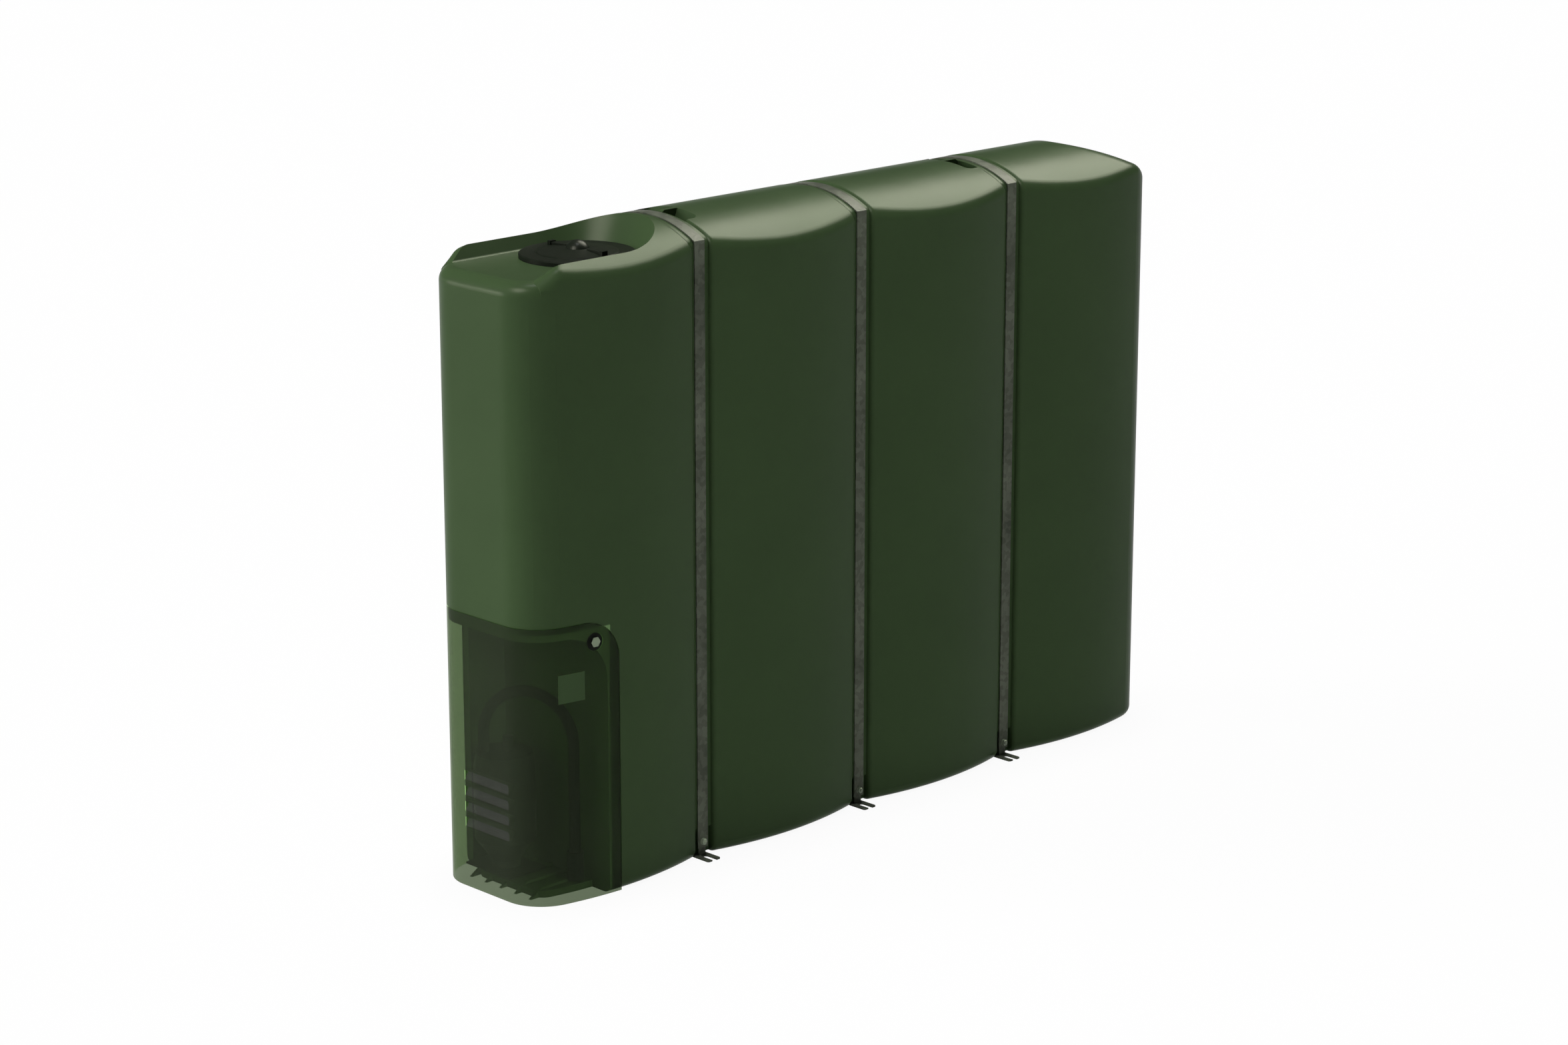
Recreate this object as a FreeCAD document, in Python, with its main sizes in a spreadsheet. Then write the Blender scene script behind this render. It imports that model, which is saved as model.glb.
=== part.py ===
import FreeCAD, Part
import Sketcher
import math
import os
import re
from FreeCAD import Placement, Rotation, Vector

# Slimline water tank with a strap in each groove and a pump behind a louvred cover.
# X runs along the tank, Y across it with the front at -Y, and Z up from the ground, in millimetres.

SIZES = (
    ("end_reach", 328.5, "middle of an end bay to the end face"),
    ("half_width", 248, "centre line to the crown of a bay wall"),
    ("bay_bulge", 38, "crown of a bay wall beyond the lips of its grooves"),
    ("ridge_height", 1862, "ground to the ridge of the roof"),
    ("crown_radius", 400, "roof arch across the tank"),
    ("wall", 8, "moulded wall"),
    ("edge_radius", 42, "roof edge"),
    ("lip_radius", 12, "bead along the lip of a groove"),
    ("corner_radius", 126, "upright corners of the ends"),
    ("base_radius", 30, "bottom edge"),
    ("roof_depth", 172, "ridge to the upper edge of the wall panels"),
    ("floor_inset", 88, "crown of a bay wall to the edge of the floor panel"),
    ("floor_split", 20, "height of the floor panel's cut"),
    ("end_split", 35, "depth of the end panels behind the end faces"),
    ("fall_radius", 800, "roof arch that falls to the right end"),
    ("fall_back", 440, "end face to that arch's centre"),
    ("fall_rise", 22, "that arch's top above the ridge"),
    ("hip_radius", 120, "blend between the two roof arches"),
    ("strap_pitch", 641, "strap to strap"),
    ("strap_width", 38, "flat bar"),
    ("strap_thickness", 4, "flat bar"),
    ("strap_inset", 48, "crown of a bay wall to the outer face of a strap's leg"),
    ("strap_sink", 1, "strap below the roof arch"),
    ("strap_end", 25, "ground to the lower end of a strap"),
    ("groove_width", 72, "groove between two bays"),
    ("groove_overlap", 16, "groove floor inside a bay"),
    ("groove_bottom", 7, "ground to the bottom of a groove's wall"),
    ("groove_edge_radius", 30, "roof edge in a groove"),
    ("seat_gap", 0.3, "clearance between a strap and what it lies on"),
    ("foot_width", 50, "foot plate"),
    ("foot_shift", 5, "foot plate aside of its strap"),
    ("foot_thickness", 4, "foot bracket"),
    ("foot_bend", 5, "bend between tab and plate"),
    ("foot_tab_inset", 6, "tab narrower than the strap, on each side"),
    ("foot_tab_height", 74, "upright tab of a foot"),
    ("foot_reach", 54, "prong tips in front of the strap"),
    ("foot_tail", 40, "plate behind the strap, under the tank"),
    ("foot_slot_width", 17, "slot between the prongs"),
    ("foot_slot_length", 36, "slot between the prongs"),
    ("prong_radius", 7, "corners of a prong's tip"),
    ("foot_recess_height", 84, "recess behind a foot's tab"),
    ("foot_recess_depth", 9, "recess behind a foot's tab"),
    ("shelf_drop", 89, "ridge to the shelf and pocket floor"),
    ("shelf_run", 69, "end face to the foot of the rims' slope"),
    ("shelf_slope", 32, "slope of the rims' ends, in degrees"),
    ("shelf_brow_radius", 40, "blend at the top of that slope"),
    ("lid_inset", 375, "end face to the middle of the lid"),
    ("pocket_gap", 9, "lid to the foot of the pocket's wall"),
    ("pocket_lean", 0.62, "sideways lean of the pocket wall for each unit of height"),
    ("pocket_height", 120, "pocket cutter"),
    ("pocket_foot", 10, "hollow round at the foot of the pocket's wall"),
    ("opening_radius", 148, "access opening under the lid"),
    ("lid_overlap", 15, "lid beyond the access opening"),
    ("lid_height", 14, "lid rim above the shelf"),
    ("lid_ring_inset", 31, "raised middle of the lid inside the access opening's edge"),
    ("lid_ring_height", 3, "raised middle of the lid"),
    ("lid_crown", 8, "rise of the raised middle to the vent dome"),
    ("lid_bevel", 3, "upper edge of the lid's rim"),
    ("lid_plug_depth", 14, "plug of the lid below the shelf"),
    ("lid_plug_gap", 2, "plug to the access opening"),
    ("dome_radius", 34, "vent dome on the lid"),
    ("dome_height", 22, "vent dome on the lid"),
    ("dome_margin", 4, "level seat round the vent dome"),
    ("grip_start", 44, "middle of the lid to the narrow end of a grip"),
    ("grip_narrow", 8, "narrow end of a grip"),
    ("grip_wide", 16, "wide end of a grip"),
    ("grip_height", 2, "grip above the dome's seat"),
    ("stop_length", 12, "block at the wide end of a grip"),
    ("stop_width", 20, "block at the wide end of a grip"),
    ("stop_height", 5, "block above the dome's seat"),
    ("scoop_half_rib", 8, "half of the rib between two lifting scoops"),
    ("scoop_width", 95, "lifting scoop across the tank"),
    ("scoop_depth", 44, "lifting scoop below the ridge at the groove"),
    ("scoop_floor", 40, "flat floor of a lifting scoop"),
    ("scoop_length", 66, "lifting scoop along the tank, at its rise"),
    ("scoop_rise", 62, "floor of a lifting scoop to the top of its ramp"),
    ("scoop_corner", 20, "upright corners of a lifting scoop"),
    ("cover_length", 292, "end face to the right edge of the pump cover"),
    ("cover_height", 810, "ground to the cover's seam"),
    ("cover_wall", 4, "cover"),
    ("cover_lift", 3, "cover above the ground"),
    ("cover_corner", 120, "upper right corner of the cover"),
    ("cover_seam", 2, "gap round the cover"),
    ("cover_wrap", 121, "cover round the back corner"),
    ("rebate_width", 40, "step that the cover lies in"),
    ("chamber_corner", 140, "upper right corner of the pump chamber"),
    ("chamber_inset", 48, "crown of the back wall to the pump chamber"),
    ("platform_height", 20, "platform under the pump"),
    ("platform_inset", 80, "platform behind the cover"),
    ("louvre_low", 180, "ground to the lowest louvre"),
    ("louvre_pitch", 46, "louvre to louvre"),
    ("louvre_gap", 30, "height of a louvre slot"),
    ("louvre_depth", 17, "top of a louvre's blade behind the end face"),
    ("louvre_wall", 3, "blade and side walls of a louvre"),
    ("louvre_corner", 9, "front corners of a louvre slot"),
    ("louvre_count", 4, "louvres"),
    ("louvre_front", 106, "centre line to the louvres' front end"),
    ("louvre_back", 83, "centre line to the louvres' back end"),
    ("panel_drop", 20, "cover's seam to the lower edge of the panels above it"),
    ("rib_count", 5, "ribs on the platform"),
    ("rib_pitch", 64, "rib to rib"),
    ("rib_width", 10, "rib"),
    ("rib_height", 8, "rib"),
    ("rib_front", 120, "centre line to the middle of the front rib"),
    ("rib_nose", 22, "foot of a rib beyond the platform"),
    ("knob_inset", 208, "end face to the knob"),
    ("knob_drop", 60, "cover's seam to the knob"),
    ("knob_across", 15, "corner radius of the hexagon"),
    ("knob_flange_height", 2.5, "flange of the knob"),
    ("knob_length", 9, "knob above the step"),
    ("knob_hole", 26, "hole in the cover round the knob"),
    ("knob_gap", 0.5, "flange of the knob to that hole"),
    ("pump_inset", 140, "end face to the pump's axis"),
    ("pump_gap", 124, "chamber's back wall to the pump's axis"),
    ("pump_radius", 88, "pump body"),
    ("pump_neck_radius", 42, "pump body at its base"),
    ("pump_foot_thickness", 6, "base plate"),
    ("pump_stand", 26, "ribs to the pump body"),
    ("pump_taper", 64, "taper of the pump body"),
    ("pump_shoulder", 276, "foot of the pump body to its shoulder"),
    ("pump_height", 318, "pump body"),
    ("pump_top_radius", 80, "flat top"),
    ("pump_foot_half", 70, "half of the base plate"),
    ("pump_foot_reach", 95, "half of the base plate along its long side"),
    ("cap_radius", 15, "filler cap"),
    ("cap_height", 43, "filler cap"),
    ("hose_radius", 16, "hose"),
    ("hose_start_left", 40, "pump's axis to the hose, towards the end"),
    ("hose_start_back", 42, "pump's axis to the hose, towards the back"),
    ("hose_end_inset", 212, "end face to the hose at the outlet"),
    ("hose_end_front", 140, "centre line to the hose at the outlet"),
    ("hose_rise", 54, "pump's top to the start of the arch"),
    ("outlet_radius", 24, "outlet fitting"),
    ("outlet_height", 82, "outlet fitting"),
)

doc = FreeCAD.newDocument("slimline_tank")
sheet = doc.addObject("Spreadsheet::Sheet", "Sizes")
for row, (alias, size, meaning) in enumerate(SIZES, start=1):
    sheet.set(f"A{row}", meaning)
    sheet.set(f"B{row}", str(size))
    sheet.setAlias(f"B{row}", alias)
doc.recompute()

value = {alias: size for alias, size, meaning in SIZES}

# Places that follow from the driving sizes
BAY_HALF = "((strap_pitch - groove_width) / 2)"
BAY_RADIUS = f"(({BAY_HALF} ^ 2 + bay_bulge ^ 2) / (2 * bay_bulge))"
CROWN_CENTRE = "(ridge_height - crown_radius)"
END = "(1.5 * strap_pitch + end_reach)"
ROOF_SPLIT = "(ridge_height - roof_depth)"
SHELF = "(ridge_height - shelf_drop)"
SHELF_FOOT = "(1.5 * strap_pitch + end_reach - shelf_run)"
LID_X = "(1.5 * strap_pitch + end_reach - lid_inset)"
LID_RADIUS = "(opening_radius + lid_overlap)"
POCKET_RADIUS = "(opening_radius + lid_overlap + pocket_gap)"
FALL_CENTRE = "(1.5 * strap_pitch + end_reach - fall_back)"
FALL_LEVEL = "(ridge_height + fall_rise - fall_radius)"
FLOOR_HALF = "(half_width - floor_inset)"
STRAP_HALF = "(half_width - strap_inset)"
STRAP_BACK = "(half_width - strap_inset - strap_thickness)"
STRAP_OUTER = "(crown_radius - strap_sink)"
STRAP_INNER = "(crown_radius - strap_sink - strap_thickness)"
GROOVE_HALF = "(half_width - strap_inset - strap_thickness - seat_gap)"
GROOVE_CROWN = "(crown_radius - strap_sink - strap_thickness - seat_gap)"
COVER_EDGE = "(1.5 * strap_pitch + end_reach - cover_length)"
CHAMBER_END = "(1.5 * strap_pitch + end_reach - cover_length + rebate_width)"
CHAMBER_BACK = "(half_width - chamber_inset)"
WRAP_EDGE = "(1.5 * strap_pitch + end_reach - cover_wrap)"
PANEL_SPLIT = "(cover_height - panel_drop)"
FAR = "(3 * strap_pitch + 2 * end_reach)"
BEYOND = "strap_pitch"
UNDERGROUND = "-half_width"
WHOLE = (f"-{BEYOND}", BEYOND)

# Tolerance for picking edges, and the least length of an edge that runs along an axis
NEAR = 0.01
LONG = 1


def ref(text):
    """Names every size in an expression as a cell of the sheet."""
    return re.sub(r"[a-z_]+", lambda word: f"Sizes.{word[0]}" if word[0] in value else word[0], text)


def bind(thing, prop, text):
    thing.setExpression(prop, ref(str(text)))


def box(name, x, y, z):
    """A block between low and high expressions along each axis."""
    block = doc.addObject("Part::Box", name)
    for prop, axis, (low, high) in zip(("Length", "Width", "Height"), "xyz", (x, y, z)):
        bind(block, prop, f"({high}) - ({low})")
        bind(block, f"Placement.Base.{axis}", low)
    return block


AXIS_TURN = {
    "x": Rotation(Vector(0, 1, 0), 90),
    "y": Rotation(Vector(1, 0, 0), -90),
    "z": Rotation(),
}


def cylinder(name, axis, radius, low, high, centre):
    """A cylinder along an axis; centre holds its two other coordinates in x, y, z order."""
    rod = doc.addObject("Part::Cylinder", name)
    rod.Placement = Placement(Vector(), AXIS_TURN[axis])
    bind(rod, "Radius", radius)
    bind(rod, "Height", f"({high}) - ({low})")
    bind(rod, f"Placement.Base.{axis}", low)
    for other, place in zip("xyz".replace(axis, ""), centre):
        bind(rod, f"Placement.Base.{other}", place)
    return rod


def wedge(name, low_x, high_x, y, z):
    """A block whose span along x differs between its bottom and its top."""
    block = doc.addObject("Part::Wedge", name)
    block.Placement = Placement(Vector(), Rotation(Vector(1, 0, 0), 90))
    for prop, size in (
        ("Xmin", low_x[0]), ("Xmax", low_x[1]), ("X2min", high_x[0]), ("X2max", high_x[1]),
        ("Ymin", z[0]), ("Ymax", z[1]),
        ("Zmin", f"-({y[1]})"), ("Zmax", f"-({y[0]})"), ("Z2min", f"-({y[1]})"), ("Z2max", f"-({y[0]})"),
    ):
        bind(block, prop, size)
    return block


def common(name, first, *others):
    for number, other in enumerate(others):
        both = doc.addObject("Part::Common", f"{name}_{number}")
        both.Base = first
        both.Tool = other
        first = both
    return first


def fuse(name, *parts):
    whole = doc.addObject("Part::MultiFuse", name)
    whole.Shapes = list(parts)
    whole.Refine = True
    return whole


def cut(name, base, tool):
    rest = doc.addObject("Part::Cut", name)
    rest.Base = base
    rest.Tool = tool
    return rest


def middle(edge):
    low, high = edge.ParameterRange
    return edge.valueAt((low + high) / 2)


def rounded(name, base, radius, wanted):
    """Rounds the edges that the test picks."""
    doc.recompute()
    picked = [(n, radius, radius) for n, edge in enumerate(base.Shape.Edges, start=1) if wanted(edge)]
    if not picked:
        raise ValueError(f"{name}: no edge to round")
    fillet = doc.addObject("Part::Fillet", name)
    fillet.Base = base
    fillet.Edges = picked
    doc.recompute()
    if not fillet.Shape.isValid() or fillet.Shape.Volume <= 0:
        raise ValueError(f"{name}: rounding failed")
    return fillet


def upright(edge):
    spread = edge.BoundBox
    return spread.XLength < NEAR and spread.YLength < NEAR and spread.ZLength > LONG


def slanted(edge):
    spread = edge.BoundBox
    return spread.XLength > LONG and spread.YLength < NEAR and spread.ZLength > LONG


def in_plane_x(edge, place):
    spread = edge.BoundBox
    return abs(spread.XMin - place) < NEAR and abs(spread.XMax - place) < NEAR


def bay_centre(number):
    return f"({number - 2.5} * strap_pitch)"


def bay_ends(number, inset):
    low = f"{bay_centre(number)} - {BAY_HALF} + {inset}"
    high = f"{bay_centre(number)} + {BAY_HALF} - {inset}"
    if number == 1:
        low = f"-{END} + {inset}"
    if number == 4:
        high = f"{END} - {inset}"
    return low, high


def plan(tag, number, inset, top="ridge_height", low=None, bottom=None):
    """A bay's outline as an upright block: bulged front and back, round end corners."""
    name = f"{tag}_plan_{number}"
    ends = bay_ends(number, inset) if low is None else (low, bay_ends(number, inset)[1])
    block = box(f"{name}_block", ends, (f"-{BEYOND}", BEYOND), (bottom or inset, top))
    sides = []
    for side, sign in (("front", ""), ("back", "-")):
        centre = (bay_centre(number), f"{sign}({BAY_RADIUS} - half_width)")
        sides.append(cylinder(f"{name}_{side}", "z", f"{BAY_RADIUS} - {inset}", UNDERGROUND, FAR, centre))
    body = common(f"{name}_body", block, *sides)
    if number in (1, 4) and low is None:
        body = rounded(
            f"{name}_corners",
            body,
            value["corner_radius"] - number_of(inset),
            lambda edge: upright(edge) and abs(middle(edge).x) > number_of(END) - value["corner_radius"],
        )
    return body


def number_of(length):
    """A sum of sizes and numbers in millimetres, each with or without a factor; no bracket follows a minus."""
    terms = re.sub("[()]", "", length).replace(" - ", " + -").split(" + ")
    return sum(number_of_term(term) for term in terms)


def number_of_term(term):
    sign, product = (-1, term[1:]) if term.startswith("-") else (1, term)
    return sign * math.prod(value[name] if name in value else float(name) for name in product.split(" * "))


def roof_arch(tag, inset):
    """Everything under the roof arch, along the whole tank."""
    arch = cylinder(f"{tag}_arch", "x", f"crown_radius - {inset}", f"-{FAR}", FAR, ("0", CROWN_CENTRE))
    below = box(
        f"{tag}_below_arch",
        (f"-{FAR}", FAR),
        (f"-crown_radius + {inset}", f"crown_radius - {inset}"),
        (UNDERGROUND, CROWN_CENTRE),
    )
    return fuse(f"{tag}_under_arch", arch, below)


def right_fall(tag, inset):
    """Everything under the arch that falls to the right end."""
    centre = (FALL_CENTRE, FALL_LEVEL)
    arch = cylinder(f"{tag}_fall_arch", "y", f"fall_radius - {inset}", f"-{BEYOND}", BEYOND, centre)
    level = box(
        f"{tag}_fall_level",
        (f"-{FAR}", FALL_CENTRE),
        (f"-{BEYOND}", BEYOND),
        (UNDERGROUND, FAR),
    )
    below = box(
        f"{tag}_fall_below",
        (FALL_CENTRE, FAR),
        (f"-{BEYOND}", BEYOND),
        (UNDERGROUND, FALL_LEVEL),
    )
    return fuse(f"{tag}_under_fall", arch, level, below)


def right_roof(tag, inset):
    """Everything under the right bay's roof, where the two arches blend."""
    name = f"{tag}_right_roof"
    broad = "(half_width + edge_radius)"
    zone = box(f"{name}_zone", ("strap_pitch", f"{END} + half_width"), (f"-{broad}", broad), (UNDERGROUND, FAR))
    body = common(f"{name}_arched", zone, arches[tag], right_fall(tag, inset))
    return rounded(
        f"{name}_hip",
        body,
        value["hip_radius"] - number_of(inset),
        lambda edge: edge.BoundBox.YLength > value["half_width"] and edge.BoundBox.XLength > LONG
        and middle(edge).z > number_of(SHELF),
    )


def slope_cutter(tag, inset):
    """What lies above the sloped ends of the shelf's rims."""
    run = "strap_pitch"
    slope = doc.addObject("Part::Box", f"{tag}_rim_slope")
    slope.Placement = Placement(Vector(), Rotation(Vector(0, 1, 0), -value["shelf_slope"]))
    bind(slope, "Length", f"2 * {run}")
    bind(slope, "Width", f"2 * {BEYOND}")
    bind(slope, "Height", run)
    foot = f"(-{SHELF_FOOT} + {inset} * tan(shelf_slope / 2 * 1 deg))"
    bind(slope, "Placement.Base.x", f"{foot} - {run} * cos(shelf_slope * 1 deg)")
    bind(slope, "Placement.Base.y", f"-{BEYOND}")
    bind(slope, "Placement.Base.z", f"{SHELF} - {inset} - {run} * sin(shelf_slope * 1 deg)")
    return slope


def left_bay_top(tag, number, inset):
    """The roof arch over the lid pocket's rims, which slopes down to the shelf."""
    name = f"{tag}_rims"
    depth = number_of(inset)
    long_plan = plan(name, number, inset, low=f"-{FAR}")
    body = common(f"{name}_arched", long_plan, arches[tag])
    low = number_of(ROOF_SPLIT) - value["wall"] * 4
    body = rounded(
        f"{name}_edge",
        body,
        value["edge_radius"] - depth,
        lambda edge: middle(edge).z > low and off_centre(edge) and edge.BoundBox.XLength > LONG,
    )
    body = cut(f"{name}_sloped", body, slope_cutter(name, inset))
    body = rounded(f"{name}_brow", body, value["shelf_brow_radius"] - depth, lambda edge: on_slope(edge, depth))
    keep = box(f"{name}_keep", (f"-{SHELF_FOOT} - wall", FAR), WHOLE, (f"{ROOF_SPLIT} - wall * 4", FAR))
    return common(f"{name}_kept", body, keep)


def on_slope(edge, depth):
    """Edges in the plane of the rims' slope."""
    angle = math.radians(value["shelf_slope"])
    normal = Vector(-math.sin(angle), 0, math.cos(angle))
    foot = Vector(-number_of(SHELF_FOOT) + depth * math.tan(angle / 2), 0, number_of(SHELF) - depth)
    first, last = edge.ParameterRange
    steps = [first + (last - first) * share for share in (0.1, 0.5, 0.9)]
    flat = all(abs((edge.valueAt(step) - foot).dot(normal)) < NEAR for step in steps)
    return flat and middle(edge).z > number_of(ROOF_SPLIT) - value["half_width"]


def pocket_cutter(tag, inset):
    """The lid pocket: round about the lid, open to the left, with leaning walls."""
    floor = f"{SHELF} - {inset}"
    low = f"({POCKET_RADIUS} + {inset})"
    high = f"({POCKET_RADIUS} + {inset} + pocket_lean * pocket_height)"
    cone = doc.addObject("Part::Cone", f"{tag}_pocket_round")
    bind(cone, "Radius1", low)
    bind(cone, "Radius2", high)
    bind(cone, "Height", "pocket_height")
    bind(cone, "Placement.Base.x", f"-{LID_X}")
    bind(cone, "Placement.Base.z", floor)
    channel = doc.addObject("Part::Wedge", f"{tag}_pocket_channel")
    channel.Placement = Placement(Vector(), Rotation(Vector(1, 0, 0), 90))
    for prop, size in (
        ("Xmin", f"-{FAR}"), ("Xmax", f"-{LID_X}"), ("X2min", f"-{FAR}"), ("X2max", f"-{LID_X}"),
        ("Ymin", floor), ("Ymax", f"{floor} + pocket_height"),
        ("Zmin", f"-{low}"), ("Zmax", low), ("Z2min", f"-{high}"), ("Z2max", high),
    ):
        bind(channel, prop, size)
    whole = fuse(f"{tag}_pocket", cone, channel)
    level = number_of(SHELF) - number_of(inset)
    return rounded(
        f"{tag}_pocket_foot",
        whole,
        value["pocket_foot"] + number_of(inset),
        lambda edge: abs(middle(edge).z - level) < NEAR and middle(edge).x > -number_of(FAR) + LONG,
    )


def bay_body(tag, number, inset):
    """One bay as a rounded pillow, either its outside or the space inside it."""
    outside = number_of(inset) == 0
    name = f"{tag}_bay_{number}"
    half = number_of(END) - number_of(inset)
    roof_low = number_of(ROOF_SPLIT) - value["wall"]
    if number == 1:
        body = plan(tag, number, inset, top=f"{SHELF} - {inset}")
    elif number == 4:
        body = common(f"{name}_arched", plan(tag, number, inset), right_roof(tag, inset))
    else:
        body = common(f"{name}_arched", plan(tag, number, inset), arches[tag])
    body = rounded(
        f"{name}_roof_edge",
        body,
        value["edge_radius"] - number_of(inset),
        lambda edge: middle(edge).z > roof_low and not upright(edge) and on_outline(edge, half),
    )
    body = rounded(
        f"{name}_base_edge",
        body,
        value["base_radius"] - number_of(inset),
        lambda edge: abs(middle(edge).z - number_of(inset)) < NEAR and on_outline(edge, half),
    )
    if number == 1:
        outline = plan(f"{tag}_rims_trim", number, inset, top=FAR)
        body = fuse(f"{name}_rimmed", body, common(f"{name}_rims", left_bay_top(tag, number, inset), outline))
    if outside:
        sides = [bay_side(number, sign) for sign in (-1, 1) if not (number, sign) in ((1, -1), (4, 1))]
        body = rounded(
            f"{name}_lips",
            body,
            value["lip_radius"],
            lambda edge: any(in_plane_x(edge, side) for side in sides),
        )
    return body


def bay_side(number, sign):
    return (number - 2.5) * value["strap_pitch"] + sign * (value["strap_pitch"] - value["groove_width"]) / 2


def off_centre(edge):
    return abs(middle(edge).y) > number_of(STRAP_HALF) / 2


def on_outline(edge, half):
    """Edges along the front, the back or an end of a bay."""
    long_side = off_centre(edge) and edge.BoundBox.XLength > NEAR
    return long_side or abs(abs(middle(edge).x) - half) < LONG


def arch_block(name, along, half, radius, low):
    """A block with upright sides under an arch across the tank."""
    block = box(f"{name}_block", along, (f"-{half}", half), (low, "ridge_height"))
    arch = cylinder(f"{name}_arch", "x", radius, f"-{FAR}", FAR, ("0", CROWN_CENTRE))
    below = box(f"{name}_below", (f"-{FAR}", FAR), (f"-{half}", half), (UNDERGROUND, CROWN_CENTRE))
    return common(name, block, fuse(f"{name}_under_arch", arch, below))


def groove_body(tag, number, inset):
    """The narrow part of the tank under a strap, which joins two bays."""
    name = f"{tag}_groove_{number}"
    centre = f"({number - 2} * strap_pitch)"
    reach = "(groove_width / 2 + groove_overlap)"
    along = (f"{centre} - {reach}", f"{centre} + {reach}")
    half = f"({GROOVE_HALF} - {inset})"
    body = arch_block(f"{name}_arched", along, half, f"{GROOVE_CROWN} - {inset}", f"groove_bottom + {inset}")
    body = rounded(
        f"{name}_edge",
        body,
        value["groove_edge_radius"] - number_of(inset),
        lambda edge: edge.BoundBox.XLength > value["groove_width"] and middle(edge).z > number_of(ROOF_SPLIT),
    )
    recesses = []
    deep = f"({GROOVE_HALF} - foot_recess_depth - {inset})"
    tall = (UNDERGROUND, f"foot_recess_height + {inset}")
    for side, span in (("front", (f"-{FAR}", f"-{deep}")), ("back", (deep, FAR))):
        recesses.append(box(f"{name}_recess_{side}", along, span, tall))
    return cut(f"{name}_recessed", body, fuse(f"{name}_recesses", *recesses))


def scoop_cutters(tag, inset):
    """The lifting scoops beside the two outer straps, a pair about the ridge at each."""
    floor = f"(ridge_height - scoop_depth - {inset})"
    cutters = []
    for number, sign in ((1, 1), (3, -1)):
        near = f"({number - 2} * strap_pitch + {sign} * (groove_width / 2 - {inset}))"
        ramp_foot = f"({near} + {sign} * (scoop_floor + 2 * {inset}))"
        ramp_top = f"({near} + {sign} * (scoop_length + 2 * {inset}))"
        bottom = (near, ramp_foot) if sign > 0 else (ramp_foot, near)
        top = (near, ramp_top) if sign > 0 else (ramp_top, near)
        for side, hand in (("front", -1), ("back", 1)):
            inner = f"{hand} * (scoop_half_rib - {inset})"
            outer = f"{hand} * (scoop_half_rib + scoop_width + {inset})"
            across = (inner, outer) if hand > 0 else (outer, inner)
            scoop = wedge(f"{tag}_scoop_{number}_{side}", bottom, top, across, (floor, f"{floor} + scoop_rise"))
            outer_side = value["scoop_half_rib"] + value["scoop_width"] + number_of(inset)
            cutters.append(
                rounded(
                    f"{tag}_scoop_corner_{number}_{side}",
                    scoop,
                    value["scoop_corner"] + number_of(inset),
                    lambda edge: abs(abs(middle(edge).y) - outer_side) < NEAR and slanted(edge),
                )
            )
    return fuse(f"{tag}_scoops", *cutters)


def recess_cutter(tag, inset):
    """What the pump chamber and the step for its cover take away from the left bay."""
    name = f"{tag}_recess"
    top = f"(cover_height - rebate_width + {inset})"
    floor = "platform_height" if number_of(inset) == 0 else UNDERGROUND
    before = (f"-{FAR}", f"-{CHAMBER_END} + {inset}")
    around = (f"-{FAR}", f"-{WRAP_EDGE} + {inset}")
    chamber = box(f"{name}_chamber", before, (f"-{BEYOND}", f"{CHAMBER_BACK} + {inset}"), (floor, top))
    chamber = upper_corner(f"{name}_chamber_corner", chamber, value["chamber_corner"] + number_of(inset))
    behind = box(f"{name}_wrap", around, WHOLE, (floor, top))
    low = (UNDERGROUND, f"platform_height * 2 + {inset}")
    skirt_zone = fuse(
        f"{name}_skirt_zone",
        box(f"{name}_skirt_front", before, (f"-{BEYOND}", "0"), low),
        box(f"{name}_skirt_behind", around, WHOLE, low),
    )
    platform = plan(f"{name}_platform", 1, f"(platform_inset + {inset})", bottom=UNDERGROUND)
    skirt = cut(f"{name}_skirt", skirt_zone, platform)
    inside = plan(f"{name}_step", 1, f"(cover_wall + seat_gap + {inset})", bottom=UNDERGROUND)
    step = cut(f"{name}_step", cover_zone(f"{name}_step", inset, "0"), inside)
    return fuse(f"{name}_cutter", chamber, behind, skirt, step)


def upper_corner(name, block, radius):
    """Rounds the upper right corner of a block that runs in from the left."""
    high = value["cover_corner"]
    left = -number_of(END)
    return rounded(
        name, block, radius,
        lambda edge: edge.BoundBox.YLength > LONG and middle(edge).z > high and middle(edge).x > left,
    )


def cover_zone(name, grow, shrink):
    """The upright zone that the pump cover takes up, as seen from the front and round the back corner."""
    height = (UNDERGROUND, f"cover_height + {grow} - {shrink}")
    front = box(f"{name}_front_zone", (f"-{FAR}", f"-{COVER_EDGE} + {grow} - {shrink}"), (f"-{BEYOND}", "0"), height)
    corner = value["cover_corner"] + number_of(grow) - number_of(shrink)
    front = upper_corner(f"{name}_zone_corner", front, corner)
    behind = box(f"{name}_back_zone", (f"-{FAR}", f"-{WRAP_EDGE} + {grow} - {shrink}"), WHOLE, height)
    return fuse(f"{name}_zone", front, behind)


# The whole moulded shell
arches = {"outer": roof_arch("outer", "0"), "core": roof_arch("core", "wall")}


def moulding(tag, inset):
    bays = [bay_body(tag, number, inset) for number in (1, 2, 3, 4)]
    grooves = [groove_body(tag, number, inset) for number in (1, 2, 3)]
    whole = fuse(f"{tag}_bays", *bays, *grooves)
    away = fuse(f"{tag}_away", recess_cutter(tag, inset), pocket_cutter(tag, inset), scoop_cutters(tag, inset))
    return cut(f"{tag}_moulding", whole, away)


outer = moulding("outer", "0")
core = moulding("core", "wall")
shell = cut("shell", outer, core)
opening = cylinder(
    "access_opening", "z", "opening_radius", f"{SHELF} - wall * 2", f"{SHELF} + wall", (f"-{LID_X}", "0")
)
shell = cut("shell_with_opening", shell, opening)


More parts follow.
